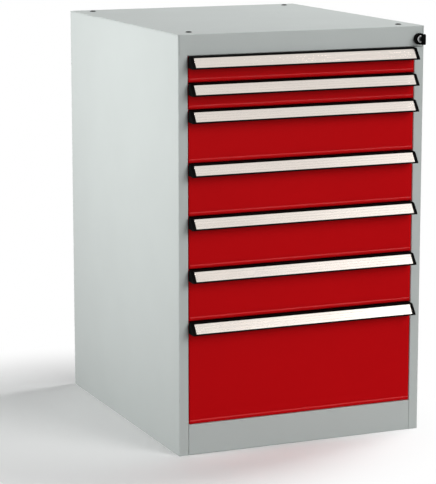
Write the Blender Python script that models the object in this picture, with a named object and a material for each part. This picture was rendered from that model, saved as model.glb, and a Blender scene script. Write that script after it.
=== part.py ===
# Workshop drawer cabinet: a folded steel case with seven drawers on telescopic
# runners, hooded grips with aluminium strips, and a key lock whose bar drops
# in front of a catch on every drawer.
# Metres, +Z up, the front faces -Y, the origin is under the middle of the whole box.
import math

import bmesh
import bpy
from mathutils import Matrix, Vector

# Case
WIDTH = 0.510
DEPTH = 0.600
HEIGHT = 0.800
HEADER_HEIGHT = 0.040
HEADER_RETURN = 0.020
HEADER_SEAM = 0.0006
PLINTH_HEIGHT = 0.060
POST_WIDTH = 0.020
POST_RETURN = 0.025
REAR_FLANGE = 0.015
SIDE_FLANGE = 0.020
TOP_FLANGE_INSET = 0.040
BOTTOM_FLANGE = 0.025
CASE_SHEET = 0.0015
BEND_RADIUS = 0.0020
BEND_STEPS = 3
SEAM = 0.0003
OVERRUN = 0.004

# Plugs in the four fixing holes of the top
PLUG_INSET = 0.037
PLUG_RADIUS = 0.0062
PLUG_RISE = 0.0020
PLUG_STEM_LENGTH = 0.0035
HOLE_RADIUS = 0.0045
PLUG_DOME_SHARES = ((0.0, 1.0), (0.6, 0.86), (0.92, 0.5))

# Rows, from the top down, as shares of the front opening
ROW_SHARES = (1, 1, 2, 2, 2, 2, 4)
ROW_PLAY = 0.001
OPENING_PLAY = 0.001

# Drawer front
FRONT_DEPTH = 0.015
FRONT_LIP = 0.015
FRONT_SHEET = 0.00125
HEM_LIFT = 0.0015
HEM_HEIGHT = 0.006
HEM_PROUD = 0.0008
HEM_EDGE = 0.0008

# Drawer tray
TRAY_DEPTH = 0.515
TRAY_SHEET = 0.001
TRAY_RIM = 0.008
TRAY_LIFT = 0.005
TRAY_DROP = 0.007
WELD = 0.0005

# Telescopic runners
RUNNER_SPACE = 0.013
RUNNER_SHEET = 0.0015
RUNNER_PLAY = 0.0005
RAIL_HEIGHT = 0.026
RAIL_LIFT = 0.0018
RAIL_LIP = 0.007
RAIL_START = 0.030
RAIL_LENGTH = 0.535
SLIDE_LIP = 0.0075
SLIDE_LENGTH = 0.500
UPRIGHT_LEAD = 0.002
UPRIGHT_WIDTH = 0.030
UPRIGHT_TOP_GAP = 0.001

# Grip: a plastic hood with closed ends, and the aluminium strip clipped on it
GRIP_PLAY = 0.001
GRIP_TOP_REACH = 0.0082
GRIP_NOSE = 0.0096
GRIP_NOSE_DROP = 0.001
GRIP_WALL = 0.0022
GRIP_END = 0.0047
GRIP_BACK_HEIGHT = 0.021
STRIP_TOP_REACH = 0.0115
STRIP_TOP_DROP = 0.0022
STRIP_FOOT_REACH = 0.0228
STRIP_FOOT_DROP = 0.0190
STRIP_SHEET = 0.0015
LIP_HEIGHT = 0.0024
LIP_PROUD = 0.0003

# Lock
LOCK_INSET = 0.012
LOCK_DROP = 0.025
COLLAR_RADIUS = 0.011
COLLAR_LENGTH = 0.010
COLLAR_EDGE = 0.001
BARREL_RADIUS = 0.0069
BARREL_LENGTH = 0.021
FACE_RADIUS = 0.0070
FACE_LENGTH = 0.0085
FACE_PROUD = 0.0008
FACE_EDGE = 0.0006
CORE_RADIUS = 0.0053
KEYWAY_WIDTH = 0.0026
KEYWAY_HEIGHT = 0.0080
KEYWAY_DEPTH = 0.020
LOCK_STEPS = 28
CAM_SHEET = 0.0025
CAM_HUB_RADIUS = 0.0050
CAM_TIP_RADIUS = 0.0030
PIN_RADIUS = 0.0015
PIN_LENGTH = 0.0040
PIN_PLAY = 0.0005
ROUND_STEPS = 12

# Lock bar, and the catch that it stops on each tray
BAR_SHEET = 0.002
BAR_WIDTH = 0.0115
BAR_PLAY = 0.0005
BAR_FOOT = 0.004
BAR_HEAD_MARGIN = 0.0035
FINGER_REACH = 0.0125
FINGER_HEIGHT = 0.006
CATCH_LENGTH = 0.008
CATCH_REACH = 0.010
CATCH_HEIGHT = 0.006
CATCH_LIFT = 0.001
CATCH_PLAY = 0.0008
FINGER_CLEARANCE = 0.004

# Key
SHOULDER_LENGTH = 0.0038
SHOULDER_HEIGHT = 0.0076
BOW_LENGTH = 0.0110
BOW_HEIGHT = 0.0205
BOW_CORNER = 0.0035
BOW_THICKNESS = 0.0044
BOW_HOLE_RADIUS = 0.0028
BOW_HOLE_INSET = 0.0045
BLADE_THICKNESS = 0.0020
BLADE_HEIGHT = 0.0070
BLADE_LENGTH = 0.0196
TOOTH_SHARES = ((0.30, 0.0), (0.38, 0.30), (0.46, 0.30), (0.54, 0.12),
                (0.62, 0.38), (0.70, 0.38), (0.78, 0.08), (0.88, 0.25))

# Colours with roughness and metallic value
FINISHES = {
    "grey_powder_coat": ((0.585, 0.625, 0.61, 1.0), 0.45, 0.0),
    "red_powder_coat": ((0.56, 0.004, 0.007, 1.0), 0.40, 0.0),
    "black_plastic": ((0.012, 0.011, 0.011, 1.0), 0.45, 0.0),
    "anodised_aluminium": ((0.80, 0.78, 0.75, 1.0), 0.35, 1.0),
    "zinc_plated_steel": ((0.55, 0.56, 0.57, 1.0), 0.40, 1.0),
    "chrome": ((0.75, 0.75, 0.76, 1.0), 0.15, 1.0),
}

# Places worked out from the sizes above
key_reach = COLLAR_LENGTH + FACE_PROUD + SEAM + SHOULDER_LENGTH + BOW_LENGTH
front_y = (key_reach - DEPTH) / 2
half_width = WIDTH / 2
wall_inside = half_width - CASE_SHEET
bend_inside = half_width - BEND_RADIUS - SEAM
opening_half = half_width - POST_WIDTH
opening_top = HEIGHT - HEADER_HEIGHT
row_share = (opening_top - PLINTH_HEIGHT) / sum(ROW_SHARES)
front_half = opening_half - OPENING_PLAY
tray_half = front_half - RUNNER_SPACE
tray_start = FRONT_DEPTH + SEAM
rail_middle = RAIL_LIFT + RAIL_HEIGHT / 2
catch_bottom = RAIL_LIFT + RAIL_HEIGHT + CATCH_LIFT
bar_travel = CATCH_HEIGHT + FINGER_CLEARANCE
crank_radius = bar_travel / math.sqrt(2)
bar_start = POST_RETURN + BAR_PLAY
lock_x = half_width - LOCK_INSET
lock_z = HEIGHT - LOCK_DROP


def row_places():
    """Give each row's number, bottom and height, from the top drawer down."""
    top = opening_top
    for number, share in enumerate(ROW_SHARES, start=1):
        height = share * row_share
        top -= height
        yield number, top, height


def empty(name, x, y, z):
    """Add the empty that a group of pieces hangs on."""
    anchor = bpy.data.objects.new(name, None)
    anchor.location = (x, y, z)
    bpy.context.collection.objects.link(anchor)
    return anchor


def add_piece(name, shape, finish, parent):
    """Turn a bmesh into a named object with its material under its parent."""
    bmesh.ops.recalc_face_normals(shape, faces=shape.faces)
    mesh = bpy.data.meshes.new(name)
    shape.to_mesh(mesh)
    shape.free()
    mesh.materials.append(bpy.data.materials[finish])
    piece = bpy.data.objects.new(name, mesh)
    piece.parent = parent
    bpy.context.collection.objects.link(piece)
    return piece


def combine(piece, tool, operation="DIFFERENCE"):
    """Join a tool shape to a piece, or cut it out, and drop the tool."""
    step = piece.modifiers.new(operation.lower(), "BOOLEAN")
    step.operation = operation
    step.object = tool
    bpy.context.view_layer.update()
    graph = bpy.context.evaluated_depsgraph_get()
    plain = piece.data
    piece.data = bpy.data.meshes.new_from_object(piece.evaluated_get(graph))
    piece.modifiers.clear()
    bpy.data.meshes.remove(plain)
    bpy.data.objects.remove(tool)


def smooth(piece):
    """Shade the round faces of a piece smooth and keep its edges."""
    piece.data.shade_smooth()
    piece.data.set_sharp_from_angle(angle=math.radians(35))


def folded(line, sheet, radius=0.0):
    """Outline a sheet of one thickness folded along its outer line.

    The sheet lies on the right of the line as it is walked along.
    """
    outer = []
    inner = []
    for index, point in enumerate(line):
        point = Vector(point)
        before = (point - Vector(line[index - 1])).normalized() if index else None
        after = (Vector(line[index + 1]) - point).normalized() if index + 1 < len(line) else None
        before = before or after
        after = after or before
        turn = before.angle_signed(after) if before.angle(after) else 0.0
        bend = radius if turn else 0.0
        setback = bend * math.tan(abs(turn) / 2)
        normal_in = Vector((before.y, -before.x))
        normal_out = Vector((after.y, -after.x))
        start = point - before * setback
        centre = start + normal_in * bend
        steps = BEND_STEPS if bend else 0
        if turn and not bend:
            corner = (normal_in + normal_out).normalized()
            outer.append(point)
            inner.append(point + corner * sheet / corner.dot(normal_in))
            continue
        for step in range(steps + 1):
            share = step / steps if steps else 0.0
            normal = Matrix.Rotation(-turn * share, 2) @ normal_in
            outer.append(centre - normal * bend)
            inner.append(centre - normal * (bend - sheet))
    return [tuple(point) for point in outer + inner[::-1]]


def prism(name, outline, axis, start, end, finish, parent):
    """Extrude an outline along X (y, z), Y (x, z) or Z (x, y)."""
    place = {
        "X": lambda a, b: (start, a, b),
        "Y": lambda a, b: (a, start, b),
        "Z": lambda a, b: (a, b, start),
    }[axis]
    along = {"X": (1, 0, 0), "Y": (0, 1, 0), "Z": (0, 0, 1)}[axis]
    shape = bmesh.new()
    corners = [shape.verts.new(place(*point)) for point in outline]
    face = shape.faces.new(corners)
    grown = bmesh.ops.extrude_face_region(shape, geom=[face], use_keep_orig=True)
    moved = [item for item in grown["geom"] if isinstance(item, bmesh.types.BMVert)]
    bmesh.ops.translate(shape, verts=moved, vec=Vector(along) * (end - start))
    return add_piece(name, shape, finish, parent)


def block(name, low, high, finish, parent):
    """Make a plain block between two corners."""
    low = Vector(low)
    high = Vector(high)
    shape = bmesh.new()
    bmesh.ops.create_cube(shape, size=1)
    bmesh.ops.scale(shape, verts=shape.verts, vec=high - low)
    bmesh.ops.translate(shape, verts=shape.verts, vec=(low + high) / 2)
    return add_piece(name, shape, finish, parent)


def round_block(name, centre, radius, start, end, axis, finish, parent):
    """Make a round bar along Y or Z; centre is (x, z) or (x, y)."""
    outline = arc(centre, radius, 0, math.tau * (1 - 1 / LOCK_STEPS), LOCK_STEPS)
    return prism(name, outline, axis, start, end, finish, parent)


def arc(centre, radius, start, end, points):
    """Give points on an arc, both ends included."""
    turns = [start + (end - start) * step / (points - 1) for step in range(points)]
    return [(centre[0] + radius * math.cos(turn), centre[1] + radius * math.sin(turn))
            for turn in turns]


def turned(name, profile, axis, finish, parent):
    """Turn a closed profile of (radius, height) points about Y or Z."""
    shape = bmesh.new()
    if axis == "Y":
        corners = [shape.verts.new((radius, along, 0)) for radius, along in profile]
        about = (0, 1, 0)
    else:
        corners = [shape.verts.new((radius, 0, along)) for radius, along in profile]
        about = (0, 0, 1)
    edges = [shape.edges.new((corners[index - 1], corners[index]))
             for index in range(len(corners))
             if profile[index][0] or profile[index - 1][0]]
    bmesh.ops.spin(shape, geom=corners + edges, cent=(0, 0, 0), axis=about,
                   angle=math.tau, steps=LOCK_STEPS, use_merge=True)
    bmesh.ops.remove_doubles(shape, verts=shape.verts, dist=SEAM / 10)
    piece = add_piece(name, shape, finish, parent)
    smooth(piece)
    return piece


def lipped_box(name, low, high, open_side, lip, sheet, finish, parent):
    """Fold a box of thin sheet whose open side keeps a lip all round."""
    low = Vector(low)
    high = Vector(high)
    shape = bmesh.new()
    bmesh.ops.create_cube(shape, size=1)
    bmesh.ops.scale(shape, verts=shape.verts, vec=high - low)
    bmesh.ops.translate(shape, verts=shape.verts, vec=(low + high) / 2)
    lid = max(shape.faces, key=lambda face: face.normal.dot(Vector(open_side)))
    bmesh.ops.inset_individual(shape, faces=[lid], thickness=lip, use_even_offset=True)
    bmesh.ops.delete(shape, geom=[lid], context="FACES")
    box = add_piece(name, shape, finish, parent)
    wall = box.modifiers.new("wall", "SOLIDIFY")
    wall.thickness = sheet
    wall.offset = -1
    wall.use_even_offset = True
    return box


def side_panel(name, side, case):
    """Fold a side wall with its rear flange and its front post."""
    line = [(half_width - REAR_FLANGE, DEPTH), (half_width, DEPTH), (half_width, 0),
            (opening_half, 0), (opening_half, POST_RETURN)]
    outline = [(side * x, y) for x, y in folded(line, CASE_SHEET, BEND_RADIUS)]
    panel = prism(name, outline, "Z", 0, HEIGHT - CASE_SHEET - SEAM, "grey_powder_coat", case)
    near, far = sorted((side * (opening_half - OVERRUN), side * bend_inside))
    notch = block("notch", (near, -OVERRUN, opening_top - SEAM),
                  (far, POST_RETURN + OVERRUN, HEIGHT), "grey_powder_coat", case)
    combine(panel, notch)
    smooth(panel)


def top_panel(case):
    """Fold the top with its header, side flanges, fixing holes and lock hole."""
    line = [(HEADER_RETURN, opening_top), (0, opening_top), (0, HEIGHT), (DEPTH, HEIGHT)]
    outline = folded(line, CASE_SHEET, BEND_RADIUS)
    panel = prism("top_panel", outline, "X", -half_width, half_width, "grey_powder_coat", case)
    for side in (-1, 1):
        near, far = sorted((side * (bend_inside - HEADER_SEAM), side * (half_width + OVERRUN)))
        notch = block("notch", (near, -OVERRUN, opening_top - OVERRUN),
                      (far, HEADER_RETURN + OVERRUN, HEIGHT - CASE_SHEET + SEAM / 2),
                      "grey_powder_coat", case)
        combine(panel, notch)
        flange_face = wall_inside - SEAM
        near, far = sorted((side * (flange_face - CASE_SHEET), side * flange_face))
        flange = block("flange", (near, TOP_FLANGE_INSET, HEIGHT - SIDE_FLANGE),
                       (far, DEPTH - TOP_FLANGE_INSET, HEIGHT - CASE_SHEET / 2),
                       "grey_powder_coat", case)
        combine(panel, flange, "UNION")
    for x, y in plug_places():
        hole = round_block("hole", (x, y), HOLE_RADIUS, HEIGHT - SIDE_FLANGE, HEIGHT + OVERRUN,
                           "Z", "grey_powder_coat", case)
        combine(panel, hole)
    hole = round_block("hole", (lock_x, lock_z), BARREL_RADIUS + SEAM, -OVERRUN,
                       CASE_SHEET + OVERRUN, "Y", "grey_powder_coat", case)
    combine(panel, hole)
    smooth(panel)


def plug_places():
    """Give the four fixing holes as (x, depth from the front)."""
    x = half_width - PLUG_INSET
    return [(-x, PLUG_INSET), (x, PLUG_INSET), (-x, DEPTH - PLUG_INSET), (x, DEPTH - PLUG_INSET)]


def plugs():
    """Press a domed plug into each hole of the top."""
    names = ("front_left", "front_right", "rear_left", "rear_right")
    dome = [(PLUG_RADIUS * across, PLUG_RISE * up) for across, up in PLUG_DOME_SHARES]
    stem = HOLE_RADIUS - SEAM
    profile = dome + [(PLUG_RADIUS, SEAM), (stem, SEAM), (stem, -PLUG_STEM_LENGTH),
                      (0, -PLUG_STEM_LENGTH)]
    for name, (x, y) in zip(names, plug_places()):
        seat = empty("plug_seat_" + name, x, front_y + y, HEIGHT)
        turned("top_plug_" + name, profile, "Z", "black_plastic", seat)


def rear_and_bottom(case):
    """Set the rear wall inside its flanges and the floor over the plinth."""
    rear_back = DEPTH - CASE_SHEET - SEAM
    rear_front = rear_back - CASE_SHEET
    block("rear_panel", (-bend_inside, rear_front, 0),
          (bend_inside, rear_back, HEIGHT - CASE_SHEET - SEAM), "grey_powder_coat", case)
    edge = wall_inside - SEAM
    line = [(-edge, PLINTH_HEIGHT - BOTTOM_FLANGE), (-edge, PLINTH_HEIGHT),
            (edge, PLINTH_HEIGHT), (edge, PLINTH_HEIGHT - BOTTOM_FLANGE)]
    prism("bottom_panel", folded(line, CASE_SHEET), "Y", POST_RETURN + SEAM, rear_front - SEAM,
          "grey_powder_coat", case)
    line = [(POST_RETURN, 0), (0, 0), (0, PLINTH_HEIGHT), (POST_RETURN, PLINTH_HEIGHT)]
    plinth_half = opening_half - SEAM
    plinth = prism("plinth_front", folded(line, CASE_SHEET, BEND_RADIUS), "X", -plinth_half,
                   plinth_half, "grey_powder_coat", case)
    smooth(plinth)


def channel(tip, web, bottom, top, sheet, side):
    """Outline a channel in (x, z) whose web and lip tips are at these places."""
    line = [(tip, bottom), (web, bottom), (web, top), (tip, top)]
    if web > tip:
        line.reverse()
    return [(side * x, z) for x, z in folded(line, sheet)]


def runner_rack(name, side, case):
    """Weld one outer rail per drawer to the two uprights of one side."""
    web = front_half + RUNNER_PLAY + RUNNER_SHEET
    foot = PLINTH_HEIGHT + SEAM
    head = opening_top - UPRIGHT_TOP_GAP
    front = RAIL_START - UPRIGHT_LEAD
    rear = RAIL_START + RAIL_LENGTH + UPRIGHT_LEAD - UPRIGHT_WIDTH
    rack = None
    for start in (front, rear):
        near = web - WELD
        far = wall_inside - SEAM
        line = [(near, start + UPRIGHT_WIDTH), (far, start + UPRIGHT_WIDTH), (far, start),
                (near, start)]
        outline = [(side * x, y) for x, y in folded(line, RUNNER_SHEET)]
        upright = prism(name, outline, "Z", foot, head, "zinc_plated_steel", case)
        rack = join(rack, upright)
    for _, bottom, _ in row_places():
        low = bottom + RAIL_LIFT
        outline = channel(web - RUNNER_SHEET - RAIL_LIP, web, low, low + RAIL_HEIGHT,
                          RUNNER_SHEET, side)
        rail = prism("rail", outline, "Y", RAIL_START, RAIL_START + RAIL_LENGTH,
                     "zinc_plated_steel", case)
        combine(rack, rail, "UNION")


def join(whole, part):
    """Put a second loose shape into the first one's mesh."""
    if whole is None:
        return part
    shape = bmesh.new()
    shape.from_mesh(whole.data)
    shape.from_mesh(part.data)
    shape.to_mesh(whole.data)
    shape.free()
    bpy.data.objects.remove(part)
    return whole


def slide_pair(number, row):
    """Make the two intermediate members that ride half as far as the drawer."""
    clearance = RUNNER_SHEET + RUNNER_PLAY
    bottom = RAIL_LIFT + clearance
    top = RAIL_LIFT + RAIL_HEIGHT - clearance
    start = RAIL_START + WELD
    for name, side in (("left", -1), ("right", 1)):
        outline = channel(front_half - RUNNER_SHEET - SLIDE_LIP, front_half, bottom, top,
                          RUNNER_SHEET, side)
        prism(f"runner_{number}_{name}", outline, "Y", start, start + SLIDE_LENGTH,
              "zinc_plated_steel", row)


def drawer_front(number, height, row):
    """Fold a drawer front with a proud hem along its lower edge."""
    front = lipped_box(f"drawer_{number}_front", (-front_half, 0, ROW_PLAY),
                       (front_half, FRONT_DEPTH, height - ROW_PLAY), (0, 1, 0),
                       FRONT_LIP, FRONT_SHEET, "red_powder_coat", row)
    low = ROW_PLAY + HEM_LIFT
    high = low + HEM_HEIGHT
    outline = [(FRONT_SHEET / 2, low), (FRONT_SHEET / 2, high), (0, high),
               (-HEM_PROUD, high - HEM_EDGE), (-HEM_PROUD, low + HEM_EDGE), (0, low)]
    hem = prism("hem", outline, "X", HEM_EDGE - front_half, front_half - HEM_EDGE,
                "red_powder_coat", row)
    combine(front, hem, "UNION")


def drawer_tray(number, height, row):
    """Fold a tray and weld its two inner rails and its lock catch on."""
    tray = lipped_box(f"drawer_{number}_tray", (-tray_half, tray_start, TRAY_LIFT),
                      (tray_half, tray_start + TRAY_DEPTH, height - TRAY_DROP), (0, 0, 1),
                      TRAY_RIM, TRAY_SHEET, "grey_powder_coat", row)
    root = tray_half - WELD
    tip = front_half - RUNNER_SHEET - RUNNER_PLAY
    half_height = RAIL_HEIGHT / 2 - 2 * (RUNNER_SHEET + RUNNER_PLAY)
    for side in (-1, 1):
        outline = channel(tip, root, rail_middle - half_height, rail_middle + half_height,
                          RUNNER_SHEET, side)
        rail = prism("rail", outline, "Y", tray_start + WELD, tray_start + TRAY_DEPTH - WELD,
                     "grey_powder_coat", row)
        combine(tray, rail, "UNION")
    catch_start = bar_start + BAR_SHEET + CATCH_PLAY
    catch = block("catch", (root, catch_start, catch_bottom),
                  (tray_half + CATCH_REACH, catch_start + CATCH_LENGTH,
                   catch_bottom + CATCH_HEIGHT), "grey_powder_coat", row)
    combine(tray, catch, "UNION")


def grip_lines(height):
    """Give the hood's outer outline, its hollow, its recess and the strip, as (y, z)."""
    top = height - GRIP_PLAY
    head = Vector((-STRIP_TOP_REACH, top - STRIP_TOP_DROP))
    foot = Vector((-STRIP_FOOT_REACH, top - STRIP_FOOT_DROP))
    down = (foot - head).normalized()
    out = Vector((down.y, -down.x))
    seat = -(STRIP_SHEET + SEAM)
    back = seat - GRIP_WALL
    lip_end = foot + down * LIP_HEIGHT
    step = head - down * SEAM * 2
    bottom = top - GRIP_BACK_HEIGHT
    hollow_top = top - GRIP_WALL
    slope_top = head + out * back
    slope_top = slope_top + down * ((hollow_top - slope_top.y) / down.y)
    hood = [(-SEAM, top), (-GRIP_TOP_REACH, top), (-GRIP_NOSE, top - GRIP_NOSE_DROP),
            step, head + out * seat / 2, foot + out * LIP_PROUD,
            lip_end + out * (LIP_PROUD - LIP_HEIGHT / 4), lip_end + out * back / 2,
            (-SEAM, bottom)]
    hollow = [(-SEAM - GRIP_WALL, hollow_top), slope_top,
              foot + down * (LIP_HEIGHT + OVERRUN) + out * back,
              (-SEAM - GRIP_WALL, bottom - OVERRUN)]
    recess = [head - down * SEAM + out * seat, head - down * SEAM + out * OVERRUN,
              foot + down * SEAM + out * OVERRUN, foot + down * SEAM + out * seat]
    strip = [head, foot, foot - out * STRIP_SHEET, head - out * STRIP_SHEET]
    return hood, hollow, recess, strip


def drawer_grip(number, height, row):
    """Mould the hood with its closed ends and clip the strip into its recess."""
    hood, hollow, recess, strip = grip_lines(height)
    grip_half = front_half - SEAM
    strip_half = grip_half - GRIP_END - SEAM
    grip = prism(f"drawer_{number}_grip", hood, "X", -grip_half, grip_half,
                 "black_plastic", row)
    for outline, half in ((hollow, strip_half), (recess, strip_half + SEAM)):
        space = prism("space", outline, "X", -half, half, "black_plastic", row)
        combine(grip, space)
    prism(f"drawer_{number}_strip", strip, "X", -strip_half, strip_half,
          "anodised_aluminium", row)


def lock_case(case):
    """Turn the lock's collar and threaded barrel."""
    seat = empty("lock_seat", lock_x, front_y, lock_z)
    step = FACE_LENGTH - COLLAR_LENGTH
    bore = FACE_RADIUS + SEAM
    core_bore = CORE_RADIUS + SEAM
    profile = [(bore, -COLLAR_LENGTH), (COLLAR_RADIUS - COLLAR_EDGE, -COLLAR_LENGTH),
               (COLLAR_RADIUS, COLLAR_EDGE - COLLAR_LENGTH), (COLLAR_RADIUS, -SEAM),
               (BARREL_RADIUS, -SEAM), (BARREL_RADIUS, BARREL_LENGTH),
               (core_bore, BARREL_LENGTH), (core_bore, step), (bore, step)]
    turned("lock_collar", profile, "Y", "black_plastic", seat)


def lock_core(turn):
    """Turn the cylinder and cut its keyway, and make the cam with its pin."""
    face = -COLLAR_LENGTH - FACE_PROUD
    step = FACE_LENGTH - COLLAR_LENGTH - SEAM
    end = BARREL_LENGTH + SEAM
    profile = [(0, face), (FACE_RADIUS - FACE_EDGE, face), (FACE_RADIUS, face + FACE_EDGE),
               (FACE_RADIUS, step), (CORE_RADIUS, step), (CORE_RADIUS, end), (0, end)]
    core = turned("lock_cylinder", profile, "Y", "chrome", turn)
    keyway = block("keyway", (-KEYWAY_WIDTH / 2, face - OVERRUN, -KEYWAY_HEIGHT / 2),
                   (KEYWAY_WIDTH / 2, face + KEYWAY_DEPTH, KEYWAY_HEIGHT / 2), "chrome", turn)
    combine(core, keyway)
    smooth(core)
    pin = (-bar_travel / 2, bar_travel / 2)
    away = math.radians(45)
    outline = arc((0, 0), CAM_HUB_RADIUS, -math.pi + away, away, ROUND_STEPS)
    outline += arc(pin, CAM_TIP_RADIUS, away, math.pi + away, ROUND_STEPS)
    cam_start = end + SEAM
    cam = prism("lock_cam", outline, "Y", cam_start, cam_start + CAM_SHEET,
                "zinc_plated_steel", turn)
    stud = round_block("stud", pin, PIN_RADIUS, cam_start + CAM_SHEET / 2,
                       cam_start + CAM_SHEET + PIN_LENGTH, "Y", "zinc_plated_steel", turn)
    combine(cam, stud, "UNION")


def lock_bar(lift):
    """Cut the bar with its slotted head and one finger for each drawer."""
    inner = opening_half + BAR_PLAY
    outer = inner + BAR_WIDTH
    finger_bottom = catch_bottom + CATCH_HEIGHT + FINGER_CLEARANCE
    pin_z = lock_z + bar_travel / 2
    play = PIN_RADIUS + PIN_PLAY
    slot_near = lock_x - crank_radius - play
    slot_far = lock_x - bar_travel / 2 + play
    head_top = pin_z + play + BAR_HEAD_MARGIN
    head_bottom = pin_z - play - BAR_HEAD_MARGIN
    outline = [(outer, head_top), (slot_near - BAR_HEAD_MARGIN, head_top),
               (slot_near - BAR_HEAD_MARGIN, head_bottom), (inner, head_bottom)]
    for _, bottom, _ in row_places():
        low = bottom + finger_bottom
        high = low + FINGER_HEIGHT
        outline += [(inner, high), (inner - FINGER_REACH, high), (inner - FINGER_REACH, low),
                    (inner, low)]
    foot = outline[-1][1] - BAR_FOOT
    outline += [(inner, foot), (outer, foot)]
    bar = prism("lock_bar", outline, "Y", bar_start, bar_start + BAR_SHEET,
                "zinc_plated_steel", lift)
    slot = block("slot", (slot_near, bar_start - OVERRUN, pin_z - play),
                 (slot_far, bar_start + BAR_SHEET + OVERRUN, pin_z + play),
                 "zinc_plated_steel", lift)
    combine(bar, slot)


def key(pull):
    """Mould the bow with its ring hole and cut the blade."""
    shoulder = -COLLAR_LENGTH - FACE_PROUD - SEAM
    neck = shoulder - SHOULDER_LENGTH
    tip = neck - BOW_LENGTH
    half = BOW_HEIGHT / 2
    upper = [(shoulder, SHOULDER_HEIGHT / 2), (neck, SHOULDER_HEIGHT / 2),
             (neck, half - BOW_CORNER), (neck - BOW_CORNER / 2, half),
             (tip + BOW_CORNER, half), (tip, half - BOW_CORNER)]
    outline = upper + [(y, -z) for y, z in reversed(upper)]
    bow = prism("key_bow", outline, "X", -BOW_THICKNESS / 2, BOW_THICKNESS / 2,
                "black_plastic", pull)
    hole_centre = (tip + BOW_HOLE_INSET, 0)
    ring = arc(hole_centre, BOW_HOLE_RADIUS, 0, math.tau * (1 - 1 / ROUND_STEPS), ROUND_STEPS)
    combine(bow, prism("hole", ring, "X", -BOW_THICKNESS, BOW_THICKNESS, "black_plastic", pull))
    blade_start = shoulder + SEAM
    low = -BLADE_HEIGHT / 2
    teeth = [(blade_start + BLADE_LENGTH * along, low + BLADE_HEIGHT * cut)
             for along, cut in TOOTH_SHARES]
    blade_end = blade_start + BLADE_LENGTH
    outline = [(blade_start, low)] + teeth + [(blade_end, 0), (blade_end, -low / 2),
                                             (blade_end + low / 2, -low), (blade_start, -low)]
    prism("key_blade", outline, "X", -BLADE_THICKNESS / 2, BLADE_THICKNESS / 2, "chrome", pull)


def make_materials():
    """Make one Principled material for each finish."""
    for name, (colour, roughness, metallic) in FINISHES.items():
        material = bpy.data.materials.new(name)
        material.use_nodes = True
        shader = material.node_tree.nodes["Principled BSDF"]
        shader.inputs["Base Color"].default_value = colour
        shader.inputs["Roughness"].default_value = roughness
        shader.inputs["Metallic"].default_value = metallic
        material.diffuse_color = colour


def main():
    for old in list(bpy.data.objects):
        bpy.data.objects.remove(old)
    make_materials()
    case = empty("case", 0, front_y, 0)
    for name, side in (("left", -1), ("right", 1)):
        side_panel(name + "_side_panel", side, case)
        runner_rack(name + "_runner_rack", side, case)
    top_panel(case)
    plugs()
    rear_and_bottom(case)
    for number, bottom, height in row_places():
        drawer = empty(f"drawer_{number}", 0, front_y, bottom)
        drawer_front(number, height, drawer)
        drawer_tray(number, height, drawer)
        drawer_grip(number, height, drawer)
        slide_pair(number, empty(f"runner_{number}", 0, front_y, bottom))
    lock_case(case)
    lock_core(empty("lock_turn", lock_x, front_y, lock_z))
    lock_bar(empty("lock_lift", 0, front_y, 0))
    key(empty("key_pull", lock_x, front_y, lock_z))


main()
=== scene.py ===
# Looks of a workshop drawer cabinet: a grey powder-coated case, seven red drawer
# fronts with black moulded grips faced in grooved aluminium, and a key lock.
# Metres, +Z up, the front faces -Y. Shared sizes and places come from the frame.
import math

import bmesh
import bpy
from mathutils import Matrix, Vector


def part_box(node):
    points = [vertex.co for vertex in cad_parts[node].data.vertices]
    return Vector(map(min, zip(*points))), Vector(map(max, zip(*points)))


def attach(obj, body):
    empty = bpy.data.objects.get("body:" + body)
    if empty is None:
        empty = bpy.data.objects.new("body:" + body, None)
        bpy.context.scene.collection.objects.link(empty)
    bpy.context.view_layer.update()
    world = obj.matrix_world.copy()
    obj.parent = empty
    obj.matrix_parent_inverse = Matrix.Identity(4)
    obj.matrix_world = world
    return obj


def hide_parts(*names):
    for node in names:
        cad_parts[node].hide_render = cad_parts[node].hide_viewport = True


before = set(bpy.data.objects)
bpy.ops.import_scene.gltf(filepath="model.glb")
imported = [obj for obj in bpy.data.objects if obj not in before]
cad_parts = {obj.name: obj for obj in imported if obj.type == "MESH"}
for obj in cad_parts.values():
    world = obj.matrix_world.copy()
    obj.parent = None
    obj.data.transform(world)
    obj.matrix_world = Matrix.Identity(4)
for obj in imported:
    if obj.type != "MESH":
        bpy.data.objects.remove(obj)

ROWS = range(1, 8)
SIDES = (("left", -1), ("right", 1))
HEIGHT_DIGITS = 4

# Turns that lay a round bar along an axis
ALONG_X = (0, math.pi / 2, 0)
ALONG_Y = (math.pi / 2, 0, 0)
ALONG_Z = (0, 0, 0)
TURN_STEPS = 48

# Limits for picking faces and edges: a share of full facing, radians, degrees, metres
FACING = 0.9
FOLD_ANGLE = 1
EASE_ANGLE = 40
SMOOTH_ANGLE = 38
MERGE_DISTANCE = 0.00003

# Case
CASE_SHEET = 0.0015
CASE_BEND = 0.0020
HEADER_RETURN = 0.020
HEADER_SEAM = 0.0006
SEAM = 0.0003
POST_RETURN = 0.025
REAR_FLANGE = 0.015
SIDE_FLANGE = 0.020
TOP_FLANGE_INSET = 0.040
OVERRUN = 0.004
BEND_STEPS = 4
EDGE = 0.00025
EDGE_STEPS = 2
FINE_EDGE = 0.000125
FINE_STEPS = 1
WELD_RISE_SHARE = 0.9
SPOT_RADIUS = 0.0026
SPOT_DEPTH = 0.00018
SPOT_PITCH = 0.075
SPOT_STEPS = 16

# Plugs in the fixing holes
PLUG_RISE = 0.0020
PLUG_STEM = 0.0042
PLUG_HOLE = 0.0045
PLUG_DOME_SHARES = ((0.0, 1.0), (0.35, 0.96), (0.62, 0.84), (0.84, 0.60), (0.96, 0.30))

# Drawer fronts
FRONT_SHEET = 0.00125
FRONT_BEND = 0.0015
FRONT_LIP = 0.015
HEM_LIFT = 0.0015
HEM_HEIGHT = 0.006
HEM_PROUD = 0.0008
HEM_SLOPE = 0.0020
HEM_FOOT = 0.0006

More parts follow.
